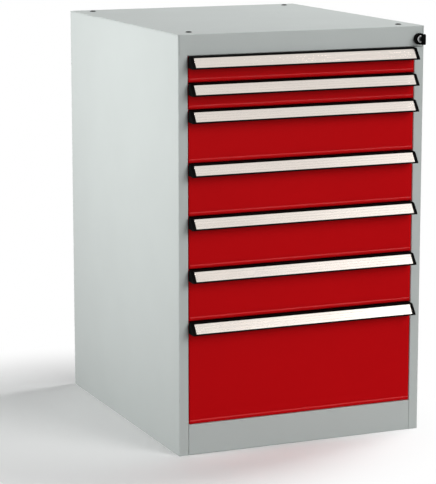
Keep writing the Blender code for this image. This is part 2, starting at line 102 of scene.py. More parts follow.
# Drawer trays
TRAY_SHEET = 0.001
TRAY_BEND = 0.0015
TRAY_RIM = 0.008
RUNNER_SPACE = 0.013
WELD = 0.0005
SLOT_PITCH = 0.025
SLOT_WIDTH = 0.0025
SLOT_HEIGHT_SHARE = 0.5
SLOT_END_SHARE = 0.12
SLOTTED_HEIGHT = 0.060

# Runners
RUNNER_SHEET = 0.0015
RUNNER_BEND = 0.0020
RUNNER_PLAY = 0.0005
RAIL_LIP = 0.007
RAIL_LENGTH = 0.535
UPRIGHT_WIDTH = 0.030
CATCH_PLAY = 0.0008
CATCH_LENGTH = 0.008
CATCH_REACH = 0.010
CATCH_HEIGHT = 0.006
CATCH_LIFT = 0.001
CATCH_EDGE = 0.0005

# Grips
GRIP_TOP_REACH = 0.0082
GRIP_NOSE = 0.0096
GRIP_NOSE_DROP = 0.001
GRIP_WALL = 0.0022
GRIP_END = 0.0057
GRIP_BACK_HEIGHT = 0.021
GRIP_CORNER = 0.004
GRIP_OVERLAP = 0.001
GRIP_CORNER_STEPS = 8
STRIP_TOP_REACH = 0.0115
STRIP_TOP_DROP = 0.0022
STRIP_FOOT_REACH = 0.0228
STRIP_FOOT_DROP = 0.0190
STRIP_SHEET = 0.0015
LIP_HEIGHT = 0.0024
LIP_PROUD = 0.0003
GROOVES = 3
GROOVE_WIDTH = 0.0009
GROOVE_DEPTH = 0.0003
LAP_DEPTH = 0.006
LAP_SHEET = 0.0005
LAP_PLAY = 0.0001

# Lock
COLLAR_RADIUS = 0.011
COLLAR_EDGE = 0.001
BARREL_RADIUS = 0.0069
FACE_RADIUS = 0.0070
FACE_LENGTH = 0.0085
FACE_EDGE = 0.0006
CORE_RADIUS = 0.0053
KEYWAY_WIDTH = 0.0026
KEYWAY_HEIGHT = 0.0080
KEYWAY_DEPTH = 0.020

# Key
SHOULDER_HEIGHT = 0.0076
SHOULDER_LENGTH = 0.0038
BOW_CORNER = 0.0035
BOW_EDGE = 0.0004
BOW_HOLE_RADIUS = 0.0028
BOW_HOLE_INSET = 0.0045
BOW_RECESS = 0.0006
BOW_RECESS_INSET = 0.0022
BLADE_GROOVE = 0.0005
TOOTH_SHARES = ((0.30, 0.0), (0.38, 0.30), (0.46, 0.30), (0.54, 0.12),
                (0.62, 0.38), (0.70, 0.38), (0.78, 0.08), (0.88, 0.25))

# Camera at the photograph's place: tilt and turn in degrees, lens and sensor in mm
CAMERA_PLACE = (-1.7025, -3.8914, 1.1503)
CAMERA_TILT = 79.271
CAMERA_TURN = -22.967
CAMERA_LENS = 157.96
CAMERA_SENSOR = 36

# Finishes: colours in linear light, noise scales per metre, relief heights in metres
NOISE_LOW = 0.3
NOISE_HIGH = 0.7
BUMP_STRENGTH = 0.5
GREY = (0.585, 0.625, 0.61)
GREY_ROUGHNESS = 0.50
GREY_SPECULAR = 0.12
RED = (0.60, 0.0025, 0.005)
RED_ROUGHNESS = 0.42
RED_SPECULAR = 0.035
# Hem edges: a red painted lighter than the fronts' red as a painted highlight, with lower roughness
# and more specular for a real sheen
PAINTED_HIGHLIGHT_RED = (0.65, 0.003, 0.006)
HEM_EDGE_ROUGHNESS = 0.22
HEM_EDGE_SPECULAR = 0.075
COAT_DRIFT = 0.012
COAT_DRIFT_SCALE = 9
COAT_PEEL_SCALE = 420
COAT_PEEL_HEIGHT = 0.00004
COAT_GRAIN_SCALE = 1600
COAT_GRAIN_HEIGHT = 0.00001
COAT_GRAIN_ROUGHNESS = 0.05
PLASTIC = (0.003, 0.0027, 0.0027)
PLASTIC_SPECULAR = 0.018
PLASTIC_DRIFT = 0.15
PLASTIC_DRIFT_SCALE = 60
PLASTIC_GRAIN_SCALE = 2200
PLASTIC_GRAIN_HEIGHT = 0.00002
PLASTIC_GRAIN_STRENGTH = 0.6
PLASTIC_ROUGHNESS = (0.42, 0.56)
ALUMINIUM = (0.69, 0.635, 0.585)
ALUMINIUM_DRIFT = 0.04
ALUMINIUM_LINE_SCALE = 900
ALUMINIUM_LINE_STRETCH = (0.004, 1, 1)
ALUMINIUM_LINE_HEIGHT = 0.0000015
ALUMINIUM_CLOUD_SCALE = 14
ALUMINIUM_ROUGHNESS = (0.15, 0.19)
ZINC = (0.60, 0.61, 0.63)
ZINC_DRIFT = 0.10
ZINC_CLOUD_SCALE = 45
ZINC_LINE_SCALE = 700
ZINC_LINE_STRETCH = (1, 0.01, 1)
ZINC_LINE_HEIGHT = 0.00001
ZINC_ROUGHNESS = (0.30, 0.44)
CHROME = (0.80, 0.80, 0.81)
CHROME_DRIFT = 0.04
CHROME_SCRATCH_SCALE = 1800
CHROME_SCRATCH_STRETCH = (0.15, 1, 1)
CHROME_SCRATCH_HEIGHT = 0.000004
CHROME_SCRATCH_STRENGTH = 0.4
CHROME_ROUGHNESS = (0.24, 0.34)

# Light: shares of full white, and lamps as (name, place, aim, size, power, spread)
SKY_LIGHT = 0.20
FLOOR_BOUNCE = 0.45
FLOOR_SEEN = 1.13
FLOOR_MIDDLE = (-0.28, -0.02, 0)
FLOOR_FADE_START = 0.36
FLOOR_FADE_END = 0.68
FLOOR_RADIUS = 9
FLOOR_CORNERS = 96
LAMPS = (
    ("overhead lamp", (1.4, 0.4, 3.0), (0, 0, 0.4), 0.8, 13.9, 120),
    ("front lamp", (2.4, -4.2, 2.7), (0, 0, 0.4), 3.0, 16.4, 60),
    ("low lamp", (0.6, -4.1, 0.85), (0, 0, 0.4), 1.8, 3.2, 60),
    ("side lamp", (-2.85, 0.0, 0.8), (-0.255, 0.0, 0.9), 0.9, 11.1, 70),
    ("grip lamp", (2.45, -2.6, 3.7), (0.1, -0.3, 0.4), 0.9, 0.5, 120),
)

# Places that the frame gives
wall_low, wall_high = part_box("right_side_panel")
top_low, top_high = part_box("top_panel")
front_y = wall_low.y
back_y = wall_high.y
half_width = wall_high.x
opening_half = wall_low.x
case_top = top_high.z
opening_top = top_low.z
wall_inside = half_width - CASE_SHEET
bend_inside = half_width - CASE_BEND - SEAM
front_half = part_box("drawer_1_front")[1].x
tray_half = front_half - RUNNER_SPACE
lock_low, lock_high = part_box("lock_collar")
lock_x = (lock_low.x + lock_high.x) / 2
lock_z = (lock_low.z + lock_high.z) / 2


def corners_of(piece):
    """Give the lowest and highest corner of one piece."""
    places = [vert.co for vert in piece.data.vertices]
    return [Vector([pick(place[axis] for place in places) for axis in range(3)])
            for pick in (min, max)]


def only(piece):
    """Select one object alone and make it the active one."""
    bpy.ops.object.select_all(action="DESELECT")
    piece.select_set(True)
    bpy.context.view_layer.objects.active = piece


def shaping(piece):
    """Open a piece in edit mode with all of it selected."""
    only(piece)
    bpy.ops.object.mode_set(mode="EDIT")
    bpy.ops.mesh.select_mode(type="VERT")
    bpy.ops.mesh.select_all(action="SELECT")


def shaped():
    """Leave edit mode."""
    bpy.ops.object.mode_set(mode="OBJECT")


def choose(kind, test):
    """Select the VERT, EDGE or FACE items of the edited piece that pass a test."""
    bpy.ops.mesh.select_mode(type=kind)
    bpy.ops.mesh.select_all(action="DESELECT")
    mesh = bpy.context.edit_object.data
    shape = bmesh.from_edit_mesh(mesh)
    for item in {"VERT": shape.verts, "EDGE": shape.edges, "FACE": shape.faces}[kind]:
        if test(item):
            item.select_set(True)
    bmesh.update_edit_mesh(mesh)


def block(name, low, high):
    """Add a cube at its size and place."""
    low = Vector(low)
    high = Vector(high)
    bpy.ops.mesh.primitive_cube_add(size=1, location=(low + high) / 2, scale=high - low)
    bpy.ops.object.transform_apply(location=True, rotation=True, scale=True)
    piece = bpy.context.object
    piece.name = name
    return piece


def disc(name, centre, radius, depth, turn, steps=TURN_STEPS):
    """Add a round bar about its centre, turned onto the axis that it lies along."""
    bpy.ops.mesh.primitive_cylinder_add(vertices=steps, radius=radius, depth=depth,
                                        location=centre, rotation=turn)
    bpy.ops.object.transform_apply(location=True, rotation=True, scale=True)
    piece = bpy.context.object
    piece.name = name
    return piece


def drawn(name, points):
    """Draw a line from point to point, starting from a plane merged to one corner."""
    points = [Vector(point) for point in points]
    bpy.ops.mesh.primitive_plane_add(size=EDGE, location=points[0])
    bpy.ops.object.transform_apply(location=True, rotation=True, scale=True)
    piece = bpy.context.object
    piece.name = name
    shaping(piece)
    bpy.ops.mesh.merge(type="CENTER")
    for start, end in zip(points, points[1:]):
        bpy.ops.mesh.extrude_vertices_move(TRANSFORM_OT_translate={"value": end - start})
    shaped()
    return piece


def prism(name, outline, along):
    """Fill a closed outline and extrude it."""
    piece = drawn(name, outline)
    shaping(piece)
    bpy.ops.mesh.edge_face_add()
    bpy.ops.mesh.extrude_region_move(TRANSFORM_OT_translate={"value": along})
    bpy.ops.mesh.select_all(action="SELECT")
    bpy.ops.mesh.normals_make_consistent(inside=False)
    shaped()
    return piece


def folded(name, line, along, outward, sheet, bend):
    """Fold a sheet along its outer line: extrude it, round its bends, thicken it inwards.

    outward is where the outer side of the line's first stretch faces.
    """
    piece = drawn(name, line)
    shaping(piece)
    bpy.ops.mesh.extrude_region_move(TRANSFORM_OT_translate={"value": along})
    choose("EDGE", lambda edge: len(edge.link_faces) == 2)
    bpy.ops.mesh.bevel(offset=bend, segments=BEND_STEPS, affect="EDGES")
    start = Vector(line[0])
    first = min(bmesh.from_edit_mesh(piece.data).faces,
                key=lambda face: min((vert.co - start).length for vert in face.verts))
    if first.normal.dot(Vector(outward)) < 0:
        bpy.ops.mesh.select_all(action="SELECT")
        bpy.ops.mesh.flip_normals()
    shaped()
    thicken(piece, sheet)
    return piece


def thicken(piece, sheet):
    """Give a surface the thickness of its sheet, inwards."""
    only(piece)
    wall = piece.modifiers.new("sheet", "SOLIDIFY")
    wall.thickness = sheet
    wall.offset = -1
    wall.use_even_offset = True
    bpy.ops.object.modifier_apply(modifier=wall.name)


def turned(name, profile, centre, axis):
    """Spin a profile of (radius, place along the axis) about a line through a centre."""
    centre = Vector(centre)
    axis = Vector(axis)
    outward = Vector((1, 0, 0))
    points = [centre + outward * radius + axis * along for radius, along in profile]
    if profile[0][0]:
        points.append(points[0])
    piece = drawn(name, points)
    shaping(piece)
    bpy.ops.mesh.spin(steps=TURN_STEPS, angle=math.tau, center=centre, axis=axis)
    bpy.ops.mesh.select_all(action="SELECT")
    bpy.ops.mesh.remove_doubles(threshold=MERGE_DISTANCE)
    bpy.ops.mesh.normals_make_consistent(inside=False)
    shaped()
    return piece


def cut(piece, tool, operation="DIFFERENCE"):
    """Take a tool shape out of a piece, or join it on, and drop the tool."""
    only(piece)
    step = piece.modifiers.new("cut", "BOOLEAN")
    step.operation = operation
    step.solver = "EXACT"
    step.object = tool
    bpy.ops.object.modifier_apply(modifier=step.name)
    bpy.data.objects.remove(tool)


def joined(name, pieces):
    """Put loose shapes into one object."""
    only(pieces[0])
    for piece in pieces[1:]:
        piece.select_set(True)
    bpy.ops.object.join()
    whole = bpy.context.object
    whole.name = name
    return whole


def copied(piece, name, offset):
    """Copy a piece with its own mesh to another place."""
    only(piece)
    bpy.ops.object.duplicate()
    copy = bpy.context.object
    copy.name = name
    bpy.ops.transform.translate(value=offset)
    bpy.ops.object.transform_apply(location=True, rotation=True, scale=True)
    return copy


def in_row(number, first, name, drop):
    """Give the first row's piece itself for row 1, and a copy of it for any other row."""
    return first if number == 1 else copied(first, name, (0, 0, drop))


def eased(piece, edge=EDGE, steps=EDGE_STEPS):
    """Round the sharp edges of a piece."""
    only(piece)
    ease = piece.modifiers.new("eased edges", "BEVEL")
    ease.width = edge
    ease.segments = steps
    ease.limit_method = "ANGLE"
    ease.angle_limit = math.radians(EASE_ANGLE)
    bpy.ops.object.modifier_apply(modifier=ease.name)
    return piece


def shaded(piece):
    """Shade the bends smooth and keep the flat faces flat."""
    only(piece)
    bpy.ops.object.shade_smooth_by_angle(angle=math.radians(SMOOTH_ANGLE))
    weights = piece.modifiers.new("weighted normals", "WEIGHTED_NORMAL")
    weights.keep_sharp = True
    bpy.ops.object.modifier_apply(modifier=weights.name)
    return piece


def dressed(piece, finish, body, *nodes):
    """Give a piece its finish, set it on its body and let it stand for its nodes."""
    piece.data.name = piece.name
    piece.data.materials.clear()
    piece.data.materials.append(FINISHES[finish])
    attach(piece, body)
    if nodes:
        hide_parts(*nodes)


# Finishes

def fresh_finish(name):
    """Start a material and give it with its shader and its object coordinates."""
    material = bpy.data.materials.new(name)
    material.use_nodes = True
    nodes = material.node_tree.nodes
    shader = nodes["Principled BSDF"]
    place = nodes.new("ShaderNodeTexCoord").outputs["Object"]
    return material, shader, place


def link(material, start, end):
    """Join two sockets."""
    material.node_tree.links.new(start, end)


def noise(material, place, scale, detail=2.0, stretch=(1, 1, 1)):
    """Add a noise pattern, stretched where the finish has a direction."""
    nodes = material.node_tree.nodes
    mapping = nodes.new("ShaderNodeMapping")
    mapping.inputs["Scale"].default_value = stretch
    link(material, place, mapping.inputs["Vector"])
    pattern = nodes.new("ShaderNodeTexNoise")
    pattern.inputs["Scale"].default_value = scale
    pattern.inputs["Detail"].default_value = detail
    link(material, mapping.outputs["Vector"], pattern.inputs["Vector"])
    return pattern.outputs["Fac"]


def spread(material, pattern, low, high, socket):
    """Map the middle of a noise pattern to a range of values for a socket."""
    ramp = material.node_tree.nodes.new("ShaderNodeMapRange")
    ramp.inputs["From Min"].default_value = NOISE_LOW
    ramp.inputs["From Max"].default_value = NOISE_HIGH
    ramp.inputs["To Min"].default_value = low
    ramp.inputs["To Max"].default_value = high
    link(material, pattern, ramp.inputs["Value"])
    link(material, ramp.outputs["Result"], socket)


def tint(material, pattern, shader, colour, change):
    """Let a colour drift between a darker and a lighter shade of itself."""
    mix = material.node_tree.nodes.new("ShaderNodeMix")
    mix.data_type = "RGBA"
    mix.inputs["A"].default_value = [part * (1 - change) for part in colour] + [1]
    mix.inputs["B"].default_value = [part * (1 + change) for part in colour] + [1]
    spread(material, pattern, 0, 1, mix.inputs["Factor"])
    link(material, mix.outputs["Result"], shader.inputs["Base Color"])


def relief(material, shader, layers, strength=BUMP_STRENGTH):
    """Stack bumps of (pattern, height in metres) on a shader."""
    below = None
    for pattern, height in layers:
        bump = material.node_tree.nodes.new("ShaderNodeBump")
        bump.inputs["Distance"].default_value = height
        bump.inputs["Strength"].default_value = strength
        link(material, pattern, bump.inputs["Height"])
        if below is not None:
            link(material, below, bump.inputs["Normal"])
        below = bump.outputs["Normal"]
    link(material, below, shader.inputs["Normal"])


def powder_coat(name, colour, roughness, specular):
    """Sprayed and baked powder: even colour, orange-peel skin and a fine grain."""
    material, shader, place = fresh_finish(name)
    shader.inputs["Specular IOR Level"].default_value = specular
    drift = noise(material, place, COAT_DRIFT_SCALE, detail=3)
    peel = noise(material, place, COAT_PEEL_SCALE)
    grain = noise(material, place, COAT_GRAIN_SCALE)
    tint(material, drift, shader, colour, COAT_DRIFT)
    spread(material, grain, roughness - COAT_GRAIN_ROUGHNESS, roughness + COAT_GRAIN_ROUGHNESS,
           shader.inputs["Roughness"])
    relief(material, shader, [(peel, COAT_PEEL_HEIGHT), (grain, COAT_GRAIN_HEIGHT)])
    return material


def black_plastic():
    """Moulded plastic with a fine spark-eroded grain."""
    material, shader, place = fresh_finish("black moulded plastic")
    shader.inputs["Specular IOR Level"].default_value = PLASTIC_SPECULAR
    drift = noise(material, place, PLASTIC_DRIFT_SCALE)
    grain = noise(material, place, PLASTIC_GRAIN_SCALE, detail=1)
    tint(material, drift, shader, PLASTIC, PLASTIC_DRIFT)
    spread(material, grain, *PLASTIC_ROUGHNESS, shader.inputs["Roughness"])
    relief(material, shader, [(grain, PLASTIC_GRAIN_HEIGHT)], PLASTIC_GRAIN_STRENGTH)
    return material


def drawn_aluminium():
    """Anodised extrusion with fine lines along X from the die."""
    material, shader, place = fresh_finish("anodised aluminium extrusion")
    shader.inputs["Metallic"].default_value = 1
    lines = noise(material, place, ALUMINIUM_LINE_SCALE, detail=3,
                  stretch=ALUMINIUM_LINE_STRETCH)
    cloud = noise(material, place, ALUMINIUM_CLOUD_SCALE, detail=3)
    tint(material, lines, shader, ALUMINIUM, ALUMINIUM_DRIFT)
    spread(material, cloud, *ALUMINIUM_ROUGHNESS, shader.inputs["Roughness"])
    relief(material, shader, [(lines, ALUMINIUM_LINE_HEIGHT)])
    return material


def zinc_plate():
    """Bright zinc plating on rolled strip: cloudy, with faint rolling lines along Y."""
    material, shader, place = fresh_finish("bright zinc plating")
    shader.inputs["Metallic"].default_value = 1
    cloud = noise(material, place, ZINC_CLOUD_SCALE, detail=5)
    lines = noise(material, place, ZINC_LINE_SCALE, stretch=ZINC_LINE_STRETCH)
    tint(material, cloud, shader, ZINC, ZINC_DRIFT)
    spread(material, cloud, *ZINC_ROUGHNESS, shader.inputs["Roughness"])
    relief(material, shader, [(lines, ZINC_LINE_HEIGHT)])
    return material


def chrome():
    """Satin chrome with hair-thin scratches."""
    material, shader, place = fresh_finish("satin chrome")
    shader.inputs["Metallic"].default_value = 1
    scratches = noise(material, place, CHROME_SCRATCH_SCALE, stretch=CHROME_SCRATCH_STRETCH)
    tint(material, scratches, shader, CHROME, CHROME_DRIFT)
    spread(material, scratches, *CHROME_ROUGHNESS, shader.inputs["Roughness"])
    relief(material, shader, [(scratches, CHROME_SCRATCH_HEIGHT)], CHROME_SCRATCH_STRENGTH)
    return material


FINISHES = {
    "grey_powder_coat": powder_coat("grey powder coat", GREY, GREY_ROUGHNESS, GREY_SPECULAR),
    "red_powder_coat": powder_coat("red powder coat", RED, RED_ROUGHNESS, RED_SPECULAR),
    # Red for the sloped hem edges: painted lighter as a painted highlight, and smoother for a real
    # sheen
    "flowed_red": powder_coat("flowed red powder coat", PAINTED_HIGHLIGHT_RED, HEM_EDGE_ROUGHNESS,
                              HEM_EDGE_SPECULAR),
    "black_plastic": black_plastic(),
    "anodised_aluminium": drawn_aluminium(),
    "zinc_plated_steel": zinc_plate(),
    "chrome": chrome(),
}


# Case

def spot_welds(wall, x, y, low, high):
    """Press a column of spot welds into a face that looks to the rear."""
    count = int((high - low) / SPOT_PITCH)
    gap = (high - low) / count
    first = low + gap / 2
    spots = [disc("spot", (x, y, first + gap * step), SPOT_RADIUS, SPOT_DEPTH * 2, ALONG_Y,
                  SPOT_STEPS) for step in range(count)]
    cut(wall, joined("spots", spots))


def side_wall(name, side):
    """Fold a side wall with its post, notched for the header and welded to it flush."""
    node = name + "_side_panel"
    low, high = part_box(node)
    line = [(half_width - REAR_FLANGE, back_y), (half_width, back_y), (half_width, front_y),
            (opening_half, front_y), (opening_half, front_y + POST_RETURN)]
    wall = folded("side_wall_" + name, [(side * x, y, low.z) for x, y in line],
                  (0, 0, high.z - low.z), (0, 1, 0), CASE_SHEET, CASE_BEND)
    near, far = sorted((side * (opening_half - OVERRUN), side * bend_inside))
    notch = block("notch", (near, front_y - OVERRUN, opening_top - SEAM),
                  (far, front_y + POST_RETURN + OVERRUN, case_top))
    cut(wall, notch)
    eased(wall)
    near, far = sorted((side * (opening_half + CASE_BEND), side * bend_inside))
    weld = block("weld", (near, front_y, opening_top - SEAM * 2),
                 (far, front_y + CASE_SHEET, opening_top + CASE_BEND * WELD_RISE_SHARE))
    cut(wall, weld, "UNION")
    flange_middle = half_width - CASE_BEND - (REAR_FLANGE - CASE_BEND) / 2
    spot_welds(wall, side * flange_middle, back_y, low.z, high.z)
    dressed(shaded(wall), "grey_powder_coat", "cabinet", node)


def top_cover():
    """Fold the top with its header and hang its side flanges under it."""
    line = [(front_y + HEADER_RETURN, opening_top), (front_y, opening_top),
            (front_y, case_top), (back_y, case_top)]
    cover = folded("top_cover", [(-half_width, y, z) for y, z in line],
                   (half_width * 2, 0, 0), (0, 0, -1), CASE_SHEET, CASE_BEND)
    for _, side in SIDES:
        near, far = sorted((side * (bend_inside - HEADER_SEAM), side * (half_width + OVERRUN)))
        cut(cover, block("notch", (near, front_y - OVERRUN, opening_top - OVERRUN),
                         (far, front_y + HEADER_RETURN + OVERRUN,
                          case_top - CASE_SHEET + SEAM / 2)))
        face = wall_inside - SEAM
        near, far = sorted((side * (face - CASE_SHEET), side * face))
        cut(cover, block("flange", (near, front_y + TOP_FLANGE_INSET, case_top - SIDE_FLANGE),
                         (far, back_y - TOP_FLANGE_INSET, case_top - CASE_SHEET / 2)), "UNION")
    for place in plug_places().values():
        cut(cover, disc("hole", place, PLUG_HOLE, OVERRUN * 2, ALONG_Z))
    cut(cover, disc("hole", (lock_x, front_y, lock_z), BARREL_RADIUS + SEAM, OVERRUN * 2, ALONG_Y))
    dressed(shaded(eased(cover)), "grey_powder_coat", "cabinet", "top_panel")


def plug_places():
    """Give the middle of each plug's seat by its name."""
    places = {}
    for name in ("front_left", "front_right", "rear_left", "rear_right"):
        low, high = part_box("top_plug_" + name)
        places[name] = ((low.x + high.x) / 2, (low.y + high.y) / 2, case_top)
    return places


def plugs():
    """Turn one domed plug and copy it into the four holes."""
    places = plug_places()
    node_low, node_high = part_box("top_plug_front_left")
    radius = (node_high.x - node_low.x) / 2
    profile = [(radius * out, PLUG_RISE * up) for out, up in PLUG_DOME_SHARES]
    profile += [(radius, SEAM), (PLUG_STEM, SEAM), (PLUG_STEM, node_low.z - case_top),
                (0, node_low.z - case_top)]
    first = places["front_left"]
    plug = shaded(turned("plug_front_left", profile, first, (0, 0, 1)))
    for name, place in places.items():
        if name != "front_left":
            copy = copied(plug, "plug_" + name, Vector(place) - Vector(first))
            dressed(copy, "black_plastic", "cabinet", "top_plug_" + name)
    dressed(plug, "black_plastic", "cabinet", "top_plug_front_left")


def plinth():
    """Fold the plinth's front between the posts."""
    low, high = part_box("plinth_front")
    line = [(high.y, low.z), (low.y, low.z), (low.y, high.z), (high.y, high.z)]
    piece = folded("plinth_board", [(low.x, y, z) for y, z in line], (high.x - low.x, 0, 0),
                   (0, 0, -1), CASE_SHEET, CASE_BEND)
    dressed(shaded(eased(piece)), "grey_powder_coat", "cabinet", "plinth_front")


def rear_wall():
    """Cut the flat rear wall."""
    piece = block("rear_wall", *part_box("rear_panel"))
    dressed(shaded(eased(piece)), "grey_powder_coat", "cabinet", "rear_panel")


def case_floor():
    """Fold the floor of the case down along both sides."""
    low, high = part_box("bottom_panel")
    line = [(low.x, low.z), (low.x, high.z), (high.x, high.z), (high.x, low.z)]
    piece = folded("case_floor", [(x, low.y, z) for x, z in line], (0, high.y - low.y, 0),
                   (-1, 0, 0), CASE_SHEET, CASE_BEND)
    dressed(shaded(eased(piece)), "grey_powder_coat", "cabinet", "bottom_panel")


# Runners

def channel(name, tip, web, bottom, top, start, end):
    """Fold a channel along Y whose web and lip tips are at these places across X."""
    line = [(tip, start, bottom), (web, start, bottom), (web, start, top), (tip, start, top)]
    return folded(name, line, (0, end - start, 0), (0, 0, -1), RUNNER_SHEET, RUNNER_BEND)


def rack(name, side):
    """Weld one outer rail for each drawer to the two uprights of one side."""
    node = name + "_runner_rack"
    low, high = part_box(node)
    tip, far = (low.x, high.x) if side > 0 else (high.x, low.x)
    web = tip + side * (RAIL_LIP + RUNNER_SHEET)
    near = web - side * WELD
    uprights = []
    for start in (low.y, high.y - UPRIGHT_WIDTH):
        line = [(near, start + UPRIGHT_WIDTH), (far, start + UPRIGHT_WIDTH), (far, start),
                (near, start)]
        uprights.append(folded("upright", [(x, y, low.z) for x, y in line],
                               (0, 0, high.z - low.z), (0, 1, 0), RUNNER_SHEET, RUNNER_BEND))
    piece = eased(joined("rack_" + name, uprights))
    play = RUNNER_SHEET + RUNNER_PLAY
    rails = []
    for number in ROWS:
        member_low, member_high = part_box(f"runner_{number}_{name}")
        start = member_low.y - WELD
        rails.append(channel("rail", tip, web, member_low.z - play, member_high.z + play,
                             start, start + RAIL_LENGTH))
    cut(piece, eased(joined("rails", rails)), "UNION")
    dressed(shaded(piece), "zinc_plated_steel", "cabinet", node)


def members(name, side):
    """Fold one intermediate member of a side and copy it to every row."""
    low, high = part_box("runner_1_" + name)
    tip, web = (low.x, high.x) if side > 0 else (high.x, low.x)
    first = shaded(eased(channel("member_1_" + name, tip, web, low.z, high.z, low.y, high.y)))
    for number in reversed(ROWS):
        node = f"runner_{number}_{name}"
        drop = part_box(node)[0].z - low.z
        piece = in_row(number, first, f"member_{number}_{name}", drop)
        dressed(piece, "zinc_plated_steel", f"runner_{number}", node)


# Drawers

def lipped_box(name, low, high, open_side, lip, sheet, bend):
    """Fold a box whose open side keeps a lip all round."""
    piece = block(name, low, high)
    shaping(piece)
    choose("FACE", lambda face: face.normal.dot(Vector(open_side)) > FACING)
    bpy.ops.mesh.inset(thickness=lip, use_even_offset=True)
    bpy.ops.mesh.delete(type="FACE")
    choose("EDGE", lambda edge: (len(edge.link_faces) == 2
                                 and edge.calc_face_angle() > FOLD_ANGLE))
    bpy.ops.mesh.bevel(offset=bend, segments=BEND_STEPS, affect="EDGES")
    shaped()
    thicken(piece, sheet)
    return piece


def drawer_front(number):
    """Fold a front and press the hem along its lower edge."""
    low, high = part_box(f"drawer_{number}_front")
    face_y = low.y + HEM_PROUD
    front = lipped_box(f"front_{number}", (low.x, face_y, low.z), high, (0, 1, 0), FRONT_LIP,
                       FRONT_SHEET, FRONT_BEND)
    eased(front)
    root = face_y + FRONT_SHEET / 2
    foot = low.z + HEM_LIFT
    top = foot + HEM_HEIGHT
    outline = [(root, foot), (face_y, foot), (low.y, foot + HEM_FOOT), (low.y, top - HEM_SLOPE),
               (root, top - HEM_SLOPE)]
    hem = prism("hem", [(low.x + FRONT_BEND, y, z) for y, z in outline],
                (high.x - low.x - FRONT_BEND * 2, 0, 0))
    cut(front, hem, "UNION")
    return shaded(front)


def hem_edges():
    """Slope the upper edge of each hem and coat it in a smoother red that is painted lighter, a
    painted highlight over its real sheen.
    """
    for number in ROWS:
        low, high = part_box(f"drawer_{number}_front")
        face_y = low.y + HEM_PROUD
        top = low.z + HEM_LIFT + HEM_HEIGHT
        foot = top - HEM_SLOPE
        outline = [(face_y, foot), (low.y, foot), (face_y, top)]
        edge = prism(f"hem_edge_{number}", [(low.x + FRONT_BEND, y, z) for y, z in outline],
                     (high.x - low.x - FRONT_BEND * 2, 0, 0))
        dressed(shaded(edge), "red_powder_coat", f"drawer_{number}")
        # The lighter red of this finish is a painted highlight along the sloped hem edge
        edge.data.materials[0] = FINISHES["flowed_red"]


def tray_slots(tray, low, high):
    """Punch the rows of divider slots into both side walls."""
    height = high.z - low.z
    count = int((high.y - low.y) * (1 - 2 * SLOT_END_SHARE) / SLOT_PITCH)
    start = (low.y + high.y - (count - 1) * SLOT_PITCH) / 2
    half = height * SLOT_HEIGHT_SHARE / 2
    middle = (low.z + high.z) / 2
    slots = []
    for step in range(count):
        y = start + step * SLOT_PITCH
        slots.append(block("slot", (-tray_half - OVERRUN, y - SLOT_WIDTH / 2, middle - half),
                           (tray_half + OVERRUN, y + SLOT_WIDTH / 2, middle + half)))
    cut(tray, joined("slots", slots))


def drawer_tray(number):
    """Fold a tray with its rim, and slot the walls of a deeper one."""
    node_low, node_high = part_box(f"drawer_{number}_tray")
    low = Vector((-tray_half, node_low.y, node_low.z))
    high = Vector((tray_half, node_high.y, node_high.z))
    tray = eased(lipped_box(f"tray_{number}", low, high, (0, 0, 1), TRAY_RIM, TRAY_SHEET,
                            TRAY_BEND))
    if high.z - low.z > SLOTTED_HEIGHT:
        tray_slots(tray, low, high)
    return shaded(tray)


def in_every_row(part, fold, finish):
    """Fold one front or tray for each height and copy it to the rows of that height."""
    made = {}
    for number in ROWS:
        low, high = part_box(f"drawer_{number}_{part}")
        height = round(high.z - low.z, HEIGHT_DIGITS)
        if height in made:
            first_low, piece = made[height]
            piece = copied(piece, f"{part}_{number}", low - first_low)
        else:
            piece = fold(number)
        made[height] = (low, piece)
    for number in ROWS:
        dressed(bpy.data.objects[f"{part}_{number}"], finish, f"drawer_{number}",
                f"drawer_{number}_{part}")


def inner_rails():
    """Fold the inner rail of each side and cut the catch, and copy them to every row."""
    tray_low, tray_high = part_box("drawer_1_tray")
    member_low, member_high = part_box("runner_1_right")
    play = RUNNER_SHEET + RUNNER_PLAY
    tip = tray_high.x
    root = tray_half - WELD
    firsts = []
    for name, side in SIDES:
        rail = channel("inner_rail_1_" + name, side * tip, side * root, member_low.z + play,
                       member_high.z - play, tray_low.y + WELD, tray_high.y - WELD)
        firsts.append(shaded(eased(rail)))
    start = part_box("lock_bar")[1].y + CATCH_PLAY
    bottom = member_high.z + play + CATCH_LIFT
    catch = block("catch_1", (root, start, bottom),
                  (tray_half + CATCH_REACH, start + CATCH_LENGTH, bottom + CATCH_HEIGHT))
    firsts.append(shaded(eased(catch, CATCH_EDGE)))
    for number in reversed(ROWS):
        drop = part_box(f"drawer_{number}_tray")[0].z - tray_low.z
        for first in firsts:
            name = first.name.replace("_1", f"_{number}")
            piece = in_row(number, first, name, drop)
            dressed(piece, "zinc_plated_steel", f"drawer_{number}")


# Grips

